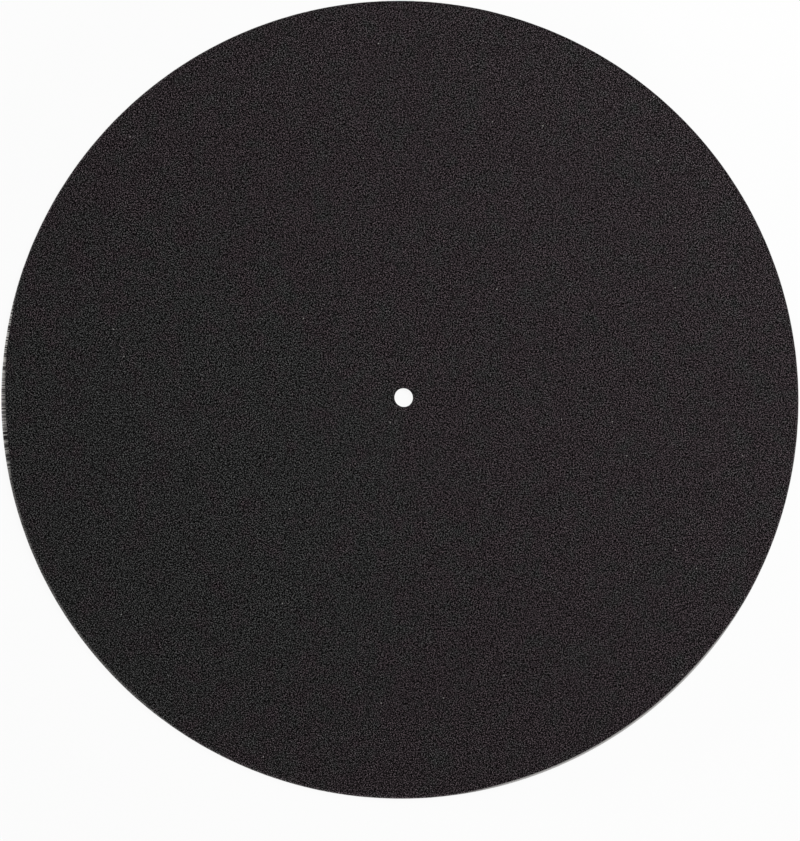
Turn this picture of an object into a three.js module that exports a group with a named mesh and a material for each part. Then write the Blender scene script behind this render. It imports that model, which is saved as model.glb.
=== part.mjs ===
// Turntable platter mat: one round sheet of dense black felt with a punched hole for the spindle.
// Millimetres, +Z up. The origin is the centre of the underside, on the spindle's axis.

import * as THREE from "three";

// Driving dimensions
const matDiameter = 305;
const matThickness = 3;
const spindleHoleDiameter = 7.2;
const rimRounding = 1.2;
const holeRounding = 0.2;

// A rounding takes at most this share of the thickness, so a straight wall is left between the two.
const largestRoundingShare = 0.45;

// How finely the round shapes are divided
const sidesAround = 200;
const stepsInRimRounding = 5;
const stepsInHoleRounding = 2;

const quarterTurn = Math.PI / 2;

// Points on a quarter circle of the section, anticlockwise from startAngle.
function roundedCorner(centreRadius, centreHeight, rounding, startAngle, steps) {
  return Array.from({ length: steps + 1 }, (_, step) => {
    const angle = startAngle + (step / steps) * quarterTurn;
    return new THREE.Vector2(
      centreRadius + rounding * Math.cos(angle),
      centreHeight + rounding * Math.sin(angle),
    );
  });
}

// The section from the spindle hole's wall to the rim, as radius and height. Both faces are flat,
// and all four edges are rounded.
function matSection() {
  const rimEdge = Math.min(rimRounding, largestRoundingShare * matThickness);
  const holeEdge = Math.min(holeRounding, largestRoundingShare * matThickness);
  const rimCentre = matDiameter / 2 - rimEdge;
  const holeCentre = spindleHoleDiameter / 2 + holeEdge;
  const points = [
    ...roundedCorner(rimCentre, rimEdge, rimEdge, -quarterTurn, stepsInRimRounding),
    ...roundedCorner(rimCentre, matThickness - rimEdge, rimEdge, 0, stepsInRimRounding),
    ...roundedCorner(holeCentre, matThickness - holeEdge, holeEdge, quarterTurn, stepsInHoleRounding),
    ...roundedCorner(holeCentre, holeEdge, holeEdge, 2 * quarterTurn, stepsInHoleRounding),
  ];
  return [...points, points[0].clone()];
}

// The section turned once about the spindle's axis, which is laid along +Z.
function matGeometry() {
  return new THREE.LatheGeometry(matSection(), sidesAround).rotateX(quarterTurn);
}

const blackFelt = new THREE.MeshStandardMaterial({
  name: "black_felt",
  color: 0x282526,
  roughness: 0.95,
  metalness: 0,
});

const platterMat = new THREE.Mesh(matGeometry(), blackFelt);
platterMat.name = "platter_mat";

const turntableMat = new THREE.Group();
turntableMat.name = "turntable_mat";
turntableMat.add(platterMat);

export default turntableMat;
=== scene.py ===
from math import cos, pi, radians, sin

import bpy
from mathutils import Matrix, Vector, noise


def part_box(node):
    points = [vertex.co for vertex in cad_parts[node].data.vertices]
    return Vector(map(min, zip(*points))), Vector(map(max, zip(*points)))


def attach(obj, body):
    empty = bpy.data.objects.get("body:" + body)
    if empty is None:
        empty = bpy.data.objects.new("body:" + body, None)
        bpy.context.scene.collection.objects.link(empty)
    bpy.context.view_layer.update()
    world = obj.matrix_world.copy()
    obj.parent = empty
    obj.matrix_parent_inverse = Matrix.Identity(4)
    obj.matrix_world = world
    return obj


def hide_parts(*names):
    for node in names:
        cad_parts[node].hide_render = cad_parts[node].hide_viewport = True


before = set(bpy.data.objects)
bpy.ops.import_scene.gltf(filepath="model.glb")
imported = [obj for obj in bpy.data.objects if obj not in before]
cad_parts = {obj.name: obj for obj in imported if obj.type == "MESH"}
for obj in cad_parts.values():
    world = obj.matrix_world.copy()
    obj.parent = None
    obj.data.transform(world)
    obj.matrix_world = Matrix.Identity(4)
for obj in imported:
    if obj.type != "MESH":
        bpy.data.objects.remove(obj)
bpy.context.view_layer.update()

# Lengths are in metres, and the mat lies flat with its underside at height 0
MM = 0.001

low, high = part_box("platter_mat")
RIM_RADIUS = (high.x - low.x) / 2
THICKNESS = high.z - low.z
HOLE_RADIUS = min(point.co.xy.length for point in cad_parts["platter_mat"].data.vertices)

RIM_ROUNDING = 1.2 * MM
HOLE_ROUNDING = 0.2 * MM
# Heights at which the roundings of the upper edges start
RIM_SHOULDER = THICKNESS - RIM_ROUNDING
HOLE_SHOULDER = THICKNESS - HOLE_ROUNDING

WHITE = (1, 1, 1, 1)

# Camera: nearly overhead, from the picture's lower left, with a long lens
CAMERA_TILT = radians(3.9)
CAMERA_SIDE = radians(209.6)
CAMERA_DISTANCE = 0.932
CAMERA_LENS = 104.5
CAMERA_AIM = Vector((-1.41 * MM, -8.75 * MM, THICKNESS / 2))
NEAREST_SEEN = 0.01
FARTHEST_SEEN = 100


def make_camera():
    back = Vector((
        sin(CAMERA_TILT) * cos(CAMERA_SIDE),
        sin(CAMERA_TILT) * sin(CAMERA_SIDE),
        cos(CAMERA_TILT),
    ))
    right = Vector((0, 1, 0)).cross(back).normalized()
    up = back.cross(right)
    turned = Matrix((right, up, back)).transposed().to_4x4()
    data = bpy.data.cameras.new("camera")
    data.lens = CAMERA_LENS
    data.clip_start = NEAREST_SEEN
    data.clip_end = FARTHEST_SEEN
    camera = bpy.data.objects.new("camera", data)
    camera.matrix_world = Matrix.Translation(CAMERA_AIM + CAMERA_DISTANCE * back) @ turned
    bpy.context.scene.collection.objects.link(camera)
    bpy.context.scene.camera = camera


# Shader node helpers, with the numbers of the mix node's colour sockets
MIXED_COLOURS = (6, 7)
MIX_RESULT = 2
NOISE_MIDDLE = 0.5


def new_material(name):
    material = bpy.data.materials.new(name)
    material.use_nodes = True
    tree = material.node_tree
    tree.nodes.clear()
    return material, tree


def add(tree, kind, inputs=(), **settings):
    """A shader node with its settings, and its inputs as (socket, value or another node's output)."""
    made = tree.nodes.new(kind)
    for key, value in settings.items():
        setattr(made, key, value)
    for socket, value in inputs:
        if isinstance(value, bpy.types.NodeSocket):
            tree.links.new(value, made.inputs[socket])
        else:
            made.inputs[socket].default_value = value
    return made


def maths(tree, operation, first, second, clamp=False):
    inputs = [(0, first), (1, second)]
    return add(tree, "ShaderNodeMath", inputs, operation=operation, use_clamp=clamp).outputs[0]


def measure(tree, operation, *vectors):
    """One number that is worked out from one or two vectors."""
    return add(tree, "ShaderNodeVectorMath", enumerate(vectors), operation=operation).outputs["Value"]


def scaled(tree, vector, factor):
    return add(tree, "ShaderNodeVectorMath", [(0, vector), ("Scale", factor)], operation="SCALE").outputs[0]


def between(tree, value, start, end, low_value=0.0, high_value=1.0):
    """value taken smoothly from start..end to low_value..high_value, and held beyond."""
    made = add(
        tree, "ShaderNodeMapRange",
        [
            ("Value", value),
            ("From Min", start),
            ("From Max", end),
            ("To Min", low_value),
            ("To Max", high_value),
        ],
        interpolation_type="SMOOTHSTEP",
    )
    return made.outputs["Result"]


def blend_colours(tree, share, first, second):
    """A colour from first to second. Each is three numbers or another node's output."""
    colours = [side if isinstance(side, bpy.types.NodeSocket) else (*side, 1) for side in (first, second)]
    inputs = [("Factor", share), *zip(MIXED_COLOURS, colours)]
    return add(tree, "ShaderNodeMix", inputs, data_type="RGBA").outputs[MIX_RESULT]


def noise_at(tree, place, size, detail=0.0, roughness=0.5, flat=False):
    """Noise around NOISE_MIDDLE in blobs about size metres across, alike at all heights if flat."""
    made = add(
        tree, "ShaderNodeTexNoise",
        [("Vector", place), ("Scale", 1 / size), ("Detail", detail), ("Roughness", roughness)],
        noise_dimensions="2D" if flat else "3D",
    )
    return made.outputs["Fac"]


def scatter_distance(tree, place, spacing, flat=False):
    """How many spacings away the nearest of many scattered points is, alike at all heights if flat."""
    made = add(
        tree, "ShaderNodeTexVoronoi",
        [("Vector", place), ("Scale", 1 / spacing)],
        voronoi_dimensions="2D" if flat else "3D",
    )
    return made.outputs["Distance"]


# Face colour: near-black in warm and neutral patches, with a painted warm light tint fading to neutral
# around one place
FACE_WARM = (0.0215, 0.0172, 0.0190)
FACE_NEUTRAL = (0.0190, 0.0190, 0.0190)
LEAST_TINTED_PLACE = Vector((-95 * MM, -46 * MM, 0))
PAINTED_TINT_FROM = 50 * MM
PAINTED_TINT_TO = 140 * MM
LEAST_WARMTH = 0.1
MOST_WARMTH = 0.85
CAST_PATCH = 7 * MM
CAST_DETAIL = 3.0
CAST_ROUGHNESS = 0.6
PATCH_CONTRAST = 3.5


def tone_and_painted_tint(tree, place):
    patches = noise_at(tree, place, CAST_PATCH, CAST_DETAIL, CAST_ROUGHNESS)
    varied = maths(tree, "MULTIPLY", maths(tree, "SUBTRACT", patches, NOISE_MIDDLE), PATCH_CONTRAST)
    # Painted warm tint of the key light: least around one place at the lower left, warmer away from it
    away = measure(tree, "DISTANCE", place, LEAST_TINTED_PLACE)
    painted_tint = between(tree, away, PAINTED_TINT_FROM, PAINTED_TINT_TO, LEAST_WARMTH, MOST_WARMTH)
    warmth = maths(tree, "ADD", varied, painted_tint, clamp=True)
    return blend_colours(tree, warmth, FACE_NEUTRAL, FACE_WARM)


# Grain of the matted fibre: light tips and dark pits less than a millimetre apart, over finer noise; own
# tone with painted glints and shade
GRAIN = 0.31 * MM
GRAIN_CONTRAST = 1.5
# Tips and pits are one scatter of spots, turned by this angle for the tips
GRAIN_ANGLE = radians(31)
SPOT_SPACING = 0.56 * MM
# A spot's radius as a share of the spacing
SPOT_REACH = 0.5
SPOT_CONTRAST = 1.65
MIDDLE_TONE = 0.66
LOWEST_TONE = 0.1
# What turns a point's tone into a factor on the face's colour
TONE_POWER = 2.2
TONE_DIVISOR = 0.632


def spots(tree, place):
    """Scattered round spots: 1 at their middles and 0 between them."""
    reached = maths(tree, "DIVIDE", scatter_distance(tree, place, SPOT_SPACING, flat=True), SPOT_REACH)
    return maths(tree, "MAXIMUM", maths(tree, "SUBTRACT", 1.0, reached), 0.0)


def grain_and_painted_glints(tree, place):
    """The fine noise by itself, and the factor that lightens and darkens the face: the felt's own grain,
    with painted glints on the tips and painted shade in the pits.
    """
    rotation = (0, 0, GRAIN_ANGLE)
    turned = add(tree, "ShaderNodeMapping", [("Vector", place), ("Rotation", rotation)]).outputs[0]
    grain = noise_at(tree, turned, GRAIN, flat=True)
    fine = maths(tree, "MULTIPLY", maths(tree, "SUBTRACT", grain, NOISE_MIDDLE), GRAIN_CONTRAST)
    # Painted glints on the fibre tips and painted shade in the pits, over the felt's own tone
    glinting_tips_and_shaded_pits = maths(tree, "SUBTRACT", spots(tree, turned), spots(tree, place))
    coarse = maths(tree, "MULTIPLY", glinting_tips_and_shaded_pits, SPOT_CONTRAST)
    tone = maths(tree, "ADD", maths(tree, "ADD", fine, coarse), MIDDLE_TONE)
    tone = maths(tree, "MAXIMUM", tone, LOWEST_TONE)
    return grain, maths(tree, "DIVIDE", maths(tree, "POWER", tone, TONE_POWER), TONE_DIVISOR)


# Cut edge: paler fibre ends in ribs, in a band that is painted wider and lighter on three sides of the rim,
# where the lamps' light falls
EDGE_DARK = (0.035, 0.034, 0.033)
EDGE_LIGHT = (0.090, 0.088, 0.085)
# Painted light and shade on the ribs of the side towards the left lamp
PAINTED_STRIPE_SHADE = (0.016, 0.015, 0.015)
PAINTED_STRIPE_LIGHT = (0.28, 0.27, 0.26)
# Painted highlight on the side of the rim towards the low right lamp
PAINTED_RIM_HIGHLIGHT = (0.22, 0.215, 0.21)
RIB = 0.50 * MM
# The noise at which a rib's colour starts and is full
RIB_FROM = 0.42
RIB_TO = 0.58
EDGE_BAND = 0.30 * MM
EDGE_FADE = 0.15 * MM
UPPER_FADE = 0.5 * MM
# Each side of the rim where light is painted has its direction, and the cosines from it at which the
# painted light starts and is full
LEFT_LIT_SIDE = (Vector((-1.0, 0.03, 0)), 0.970, 0.992)
LOWER_LEFT_LIT_SIDE = (Vector((-0.906, -0.423, 0)), 0.84, 0.94)
LOW_RIGHT_LIT_SIDE = (Vector((0.54, -0.84, 0)), 0.88, 0.97)
# What the band is wider by at each side, where its painted light falls
LEFT_LIT_WIDTH = 0.75 * MM
LOWER_LEFT_LIT_WIDTH = 0.70 * MM
LOW_RIGHT_LIT_WIDTH = 0.60 * MM


def share_on_side(tree, outward, upper, side):
    """1 for points towards that side that are as high as the mat's upper edge, fading to 0 elsewhere."""
    direction, start, full = side
    along = measure(tree, "DOT_PRODUCT", outward, direction)
    return maths(tree, "MULTIPLY", between(tree, along, start, full), upper)


def cut_edge_and_painted_light(tree, place):
    """The noise of the ribs, how far a point is in the edge band from 0 to 1, and the edge's colour with
    painted light on three sides.
    """
    x, y, z = add(tree, "ShaderNodeSeparateXYZ", [(0, place)]).outputs
    level = add(tree, "ShaderNodeCombineXYZ", [(0, x), (1, y)]).outputs[0]
    radius = measure(tree, "LENGTH", level)
    outward = add(tree, "ShaderNodeVectorMath", [(0, level)], operation="NORMALIZE").outputs[0]
    ribs = noise_at(tree, scaled(tree, outward, RIM_RADIUS), RIB)
    on_rib = between(tree, ribs, RIB_FROM, RIB_TO)

    upper = between(tree, z, RIM_SHOULDER - UPPER_FADE, RIM_SHOULDER)
    # Painted light on the rim, on the sides towards the left lamp, the lower left and the low right lamp
    left_lit = share_on_side(tree, outward, upper, LEFT_LIT_SIDE)
    lower_left_lit = share_on_side(tree, outward, upper, LOWER_LEFT_LIT_SIDE)
    low_right_lit = share_on_side(tree, outward, upper, LOW_RIGHT_LIT_SIDE)
    widened = 0.0
    for share, width in ((left_lit, LEFT_LIT_WIDTH), (lower_left_lit, LOWER_LEFT_LIT_WIDTH), (low_right_lit, LOW_RIGHT_LIT_WIDTH)):
        widened = maths(tree, "ADD", widened, maths(tree, "MULTIPLY", share, width))
    depth = maths(tree, "SUBTRACT", RIM_RADIUS - EDGE_BAND, radius)
    in_edge_band = between(tree, maths(tree, "SUBTRACT", depth, widened), EDGE_FADE, 0.0)

    plain = blend_colours(tree, on_rib, EDGE_DARK, EDGE_LIGHT)
    painted_stripes = blend_colours(tree, on_rib, PAINTED_STRIPE_SHADE, PAINTED_STRIPE_LIGHT)
    # Painted lit stripes at the left and a painted highlight at the lower right, over the cut edge's own
    # colour
    colour = blend_colours(tree, left_lit, blend_colours(tree, low_right_lit, plain, PAINTED_RIM_HIGHLIGHT), painted_stripes)
    return ribs, in_edge_band, colour


# Lint: a few small light specks
LINT = (0.32, 0.31, 0.30)
LINT_SPACING = 9 * MM
# A speck's radii as shares of the spacing, where it ends and where it is full
LINT_END = 0.03
LINT_FULL = 0.02

# Surface: matt, with a slight sheen, and a relief of grain and ribs
RIB_RELIEF = 0.8
RELIEF_HEIGHT = 0.10 * MM
RELIEF_STRENGTH = 0.6
# The noise and the roughness of the grain's darkest and lightest places
GRAIN_DARKEST = 0.35
GRAIN_LIGHTEST = 0.65
ROUGHNESS_DARKEST = 0.98
ROUGHNESS_LIGHTEST = 0.84
SPECULAR = 0.0
SHEEN = 0.03
SHEEN_ROUGHNESS = 0.55
SHEEN_TINT = (0.8, 0.78, 0.76, 1)


def felt_material():
    material, tree = new_material("black_felt")
    place = add(tree, "ShaderNodeTexCoord").outputs["Object"]
    grain, grain_glints_and_shade = grain_and_painted_glints(tree, place)
    ribs, in_edge_band, edge_and_painted_light = cut_edge_and_painted_light(tree, place)
    lint = between(tree, scatter_distance(tree, place, LINT_SPACING), LINT_END, LINT_FULL)

    face = scaled(tree, tone_and_painted_tint(tree, place), grain_glints_and_shade)
    face_and_edge = blend_colours(tree, in_edge_band, face, edge_and_painted_light)
    colour = blend_colours(tree, lint, face_and_edge, LINT)
    roughness = between(
        tree, grain, GRAIN_DARKEST, GRAIN_LIGHTEST, ROUGHNESS_DARKEST, ROUGHNESS_LIGHTEST,
    )
    rib_relief = maths(tree, "MULTIPLY", maths(tree, "MULTIPLY", ribs, in_edge_band), RIB_RELIEF)
    bump = add(
        tree, "ShaderNodeBump",
        [
            ("Height", maths(tree, "ADD", grain, rib_relief)),
            ("Distance", RELIEF_HEIGHT),
            ("Strength", RELIEF_STRENGTH),
        ],
    )
    shader = add(
        tree, "ShaderNodeBsdfPrincipled",
        [
            ("Base Color", colour),
            ("Roughness", roughness),
            ("Normal", bump.outputs[0]),
            ("Specular IOR Level", SPECULAR),
            ("Sheen Weight", SHEEN),
            ("Sheen Roughness", SHEEN_ROUGHNESS),
            ("Sheen Tint", SHEEN_TINT),
        ],
    )
    add(tree, "ShaderNodeOutputMaterial", [("Surface", shader.outputs[0])])
    return material


# The mat's section as rings of points, closer together where the surface bends
RIM_SIDES = 3200
HOLE_SIDES = 160
FINEST_STEP = 2 * pi * RIM_RADIUS / RIM_SIDES
WIDEST_STEP = 4 * MM
STEP_GROWTH = 0.28
RIM_WALL_ROWS = 3
RIM_ROUNDING_ROWS = 6
HOLE_ROUNDING_ROWS = 3
HOLE_WALL_ROWS = 6


def face_rings(height):
    """Rings across a flat face, from the rim's rounding in to the hole's, as (radius, height, sides)."""
    outer = RIM_RADIUS - RIM_ROUNDING
    inner = HOLE_RADIUS + HOLE_ROUNDING
    hole_step = 2 * pi * inner / HOLE_SIDES
    rings = []
    radius = outer
    while radius > inner:
        step = min(
            WIDEST_STEP,
            FINEST_STEP + STEP_GROWTH * (outer - radius),
            hole_step + STEP_GROWTH * (radius - inner),
        )
        if radius < outer:
            rings.append((radius, height, max(HOLE_SIDES, round(2 * pi * radius / step))))
        radius -= step
    # A last ring that all but touches the hole's rounding is left out
    if rings[-1][0] - inner < hole_step / 2:
        rings.pop()
    return rings


def corner_rings(radius, height, start, rounding, rows, sides):
    """Rings on a quarter round of the section, anticlockwise from the angle start."""
    angles = [start + pi / 2 * row / rows for row in range(rows + 1)]
    return [(radius + rounding * cos(angle), height + rounding * sin(angle), sides) for angle in angles]


def wall_rings(radius, start, end, rows, sides):
    """Rings on an upright wall, between the heights start and end."""
    return [(radius, start + (end - start) * row / rows, sides) for row in range(1, rows)]


def mat_rings():
    """Every ring of the section in turn: rim, upper face, hole, and the underside back to the rim."""
    rim = RIM_RADIUS - RIM_ROUNDING
    hole = HOLE_RADIUS + HOLE_ROUNDING
    rim_corner = (RIM_ROUNDING, RIM_ROUNDING_ROWS, RIM_SIDES)
    hole_corner = (HOLE_ROUNDING, HOLE_ROUNDING_ROWS, HOLE_SIDES)
    return [
        *corner_rings(rim, RIM_ROUNDING, -pi / 2, *rim_corner),
        *wall_rings(RIM_RADIUS, RIM_ROUNDING, RIM_SHOULDER, RIM_WALL_ROWS, RIM_SIDES),
        *corner_rings(rim, RIM_SHOULDER, 0, *rim_corner),
        *face_rings(THICKNESS),
        *corner_rings(hole, HOLE_SHOULDER, pi / 2, *hole_corner),
        *wall_rings(HOLE_RADIUS, HOLE_SHOULDER, HOLE_ROUNDING, HOLE_WALL_ROWS, HOLE_SIDES),
        *corner_rings(hole, HOLE_ROUNDING, pi, *hole_corner),
        *reversed(face_rings(0)),
    ]


# The felt's unevenness: the size of its dips, their greatest depth and their place in the noise
SWELLS = (34 * MM, 0.05 * MM, 11.3)
DIMPLES = (9 * MM, 0.02 * MM, 47.9)
STREAKS = (0.9 * MM, 0.05 * MM, 5.1)
RAGGED_CUT = (5 * MM, 0.06 * MM, 71.7)
# The cut at the rim varies this many times more slowly through the thickness than along the rim
UPRIGHT_STRETCH = 4


def dip(place, unevenness):
    """How deep a smooth dip is at a place."""
    size, depth, seed = unevenness
    share = (1 + noise.noise(place / size + Vector((seed, seed, seed)))) / 2
    return depth * min(1.0, max(0.0, share))


def felt_point(radius, angle, height):
    """A point of the mat, with the felt's slight swells in the upper face and its uneven cut at the rim."""
    place = Vector((radius * cos(angle), radius * sin(angle), height))
    flat = Vector((place.x, place.y, 0))
    lift = height / THICKNESS
    place.z -= lift * (dip(flat, SWELLS) + dip(flat, DIMPLES))
    outward = max(0.0, 1 - (RIM_RADIUS - radius) / RIM_ROUNDING)
    if outward > 0:
        around = Vector((RIM_RADIUS * cos(angle), RIM_RADIUS * sin(angle), height / UPRIGHT_STRETCH))
        cut = dip(around, STREAKS) + dip(around, RAGGED_CUT)
        place.xy -= outward * cut * Vector((cos(angle), sin(angle)))
    return place


def bridge(first, second):
    """Faces between two rings of point numbers that both start at angle 0."""
    sides, other_sides = len(first), len(second)
    if sides == other_sides:
        return [
            (first[i], first[(i + 1) % sides], second[(i + 1) % sides], second[i])
            for i in range(sides)
        ]
    # Each triangle steps on along the ring whose next point comes first
    faces = []
    i = j = 0
    while i < sides or j < other_sides:
        if (i + 1) * other_sides <= (j + 1) * sides:
            faces.append((first[i % sides], first[(i + 1) % sides], second[j % other_sides]))
            i += 1
        else:
            faces.append((first[i % sides], second[(j + 1) % other_sides], second[j % other_sides]))
            j += 1
    return faces


def mat_mesh():
    points, loops = [], []
    for radius, height, sides in mat_rings():
        loops.append(range(len(points), len(points) + sides))
        points.extend(felt_point(radius, 2 * pi * side / sides, height) for side in range(sides))
    next_loops = loops[1:] + loops[:1]
    faces = [face for first, second in zip(loops, next_loops) for face in bridge(first, second)]
    mesh = bpy.data.meshes.new("felt_mat")
    mesh.from_pydata(points, [], faces)
    mesh.validate()
    mesh.shade_smooth()
    return mesh


def make_mat():
    mesh = mat_mesh()
    mesh.materials.append(felt_material())
    mat = bpy.data.objects.new("felt_mat", mesh)
    bpy.context.scene.collection.objects.link(mat)
    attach(mat, "root")
    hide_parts("platter_mat")


# Stage: plain white as the camera sees it, with the mat's own soft shadow on the floor
STAGE_STRENGTH = 1.0
FLOOR_SIZE = 12.0
FLOOR_GAP = 0.1 * MM
FLOOR_COLOUR = (0.88, 0.88, 0.88, 1)
SHADOW_SHARE = 0.07
WORLD_FILL = 0.17


def seen_directly(tree):
    """1 for rays that show the stage as plain white: camera, glossy and transmitted ones."""
    rays = add(tree, "ShaderNodeLightPath").outputs
    shiny = maths(tree, "MAXIMUM", rays["Is Glossy Ray"], rays["Is Transmission Ray"])
    return maths(tree, "MAXIMUM", rays["Is Camera Ray"], shiny)


def glow(tree, kind, strength):
    """White light of that strength, from a surface or the world."""
    return add(tree, kind, [("Color", WHITE), ("Strength", strength)]).outputs[0]


def make_floor():
    bpy.ops.mesh.primitive_plane_add(size=FLOOR_SIZE, location=(0, 0, -FLOOR_GAP))
    floor = bpy.context.object
    floor.name = "floor"
    material, tree = new_material("white_floor")
    lit = add(tree, "ShaderNodeBsdfDiffuse", [("Color", FLOOR_COLOUR)]).outputs[0]
    white = glow(tree, "ShaderNodeEmission", STAGE_STRENGTH)
    share = maths(tree, "MULTIPLY", seen_directly(tree), 1 - SHADOW_SHARE)
    mixed = add(tree, "ShaderNodeMixShader", [(0, share), (1, lit), (2, white)]).outputs[0]
    add(tree, "ShaderNodeOutputMaterial", [("Surface", mixed)])
    floor.data.materials.append(material)


def make_world():
    world = bpy.data.worlds.new("studio")
    bpy.context.scene.world = world
    world.use_nodes = True
    tree = world.node_tree
    tree.nodes.clear()
    fill = glow(tree, "ShaderNodeBackground", WORLD_FILL)
    white = glow(tree, "ShaderNodeBackground", STAGE_STRENGTH)
    mixed = add(tree, "ShaderNodeMixShader", [(0, seen_directly(tree)), (1, fill), (2, white)]).outputs[0]
    add(tree, "ShaderNodeOutputWorld", [("Surface", mixed)])


# Lamps: a soft one above the right of the mat, and two low ones that rake the rim
MAT_MIDDLE = Vector((0, 0, 0))
KEY_PLACE = Vector((0.26, 0.18, 0.60))
KEY_AIM = Vector((0.26, 0.18, 0))
KEY_SIZE = (0.4, 0.4)
KEY_POWER = 2.9
LEFT_PLACE = Vector((-6.2, 0.34, 0.34))
LEFT_SIZE = (2.0, 0.4)
LEFT_POWER = 590
LOW_RIGHT_PLACE = Vector((4.1, -6.4, 0.42))
LOW_RIGHT_SIZE = (2.5, 0.5)
LOW_RIGHT_POWER = 1070


def make_lamp(name, place, aim, size, power):
    data = bpy.data.lights.new(name, "AREA")
    data.shape = "RECTANGLE"
    data.size, data.size_y = size
    data.energy = power
    lamp = bpy.data.objects.new(name, data)
    lamp.location = place
    lamp.rotation_mode = "QUATERNION"
    lamp.rotation_quaternion = (aim - place).to_track_quat("-Z", "Y")
    bpy.context.scene.collection.objects.link(lamp)


def make_lamps():
    make_lamp("key_lamp", KEY_PLACE, KEY_AIM, KEY_SIZE, KEY_POWER)
    make_lamp("left_lamp", LEFT_PLACE, MAT_MIDDLE, LEFT_SIZE, LEFT_POWER)
    make_lamp("low_right_lamp", LOW_RIGHT_PLACE, MAT_MIDDLE, LOW_RIGHT_SIZE, LOW_RIGHT_POWER)


make_camera()
make_mat()
make_floor()
make_world()
make_lamps()

bpy.context.scene.view_settings.view_transform = "Standard"
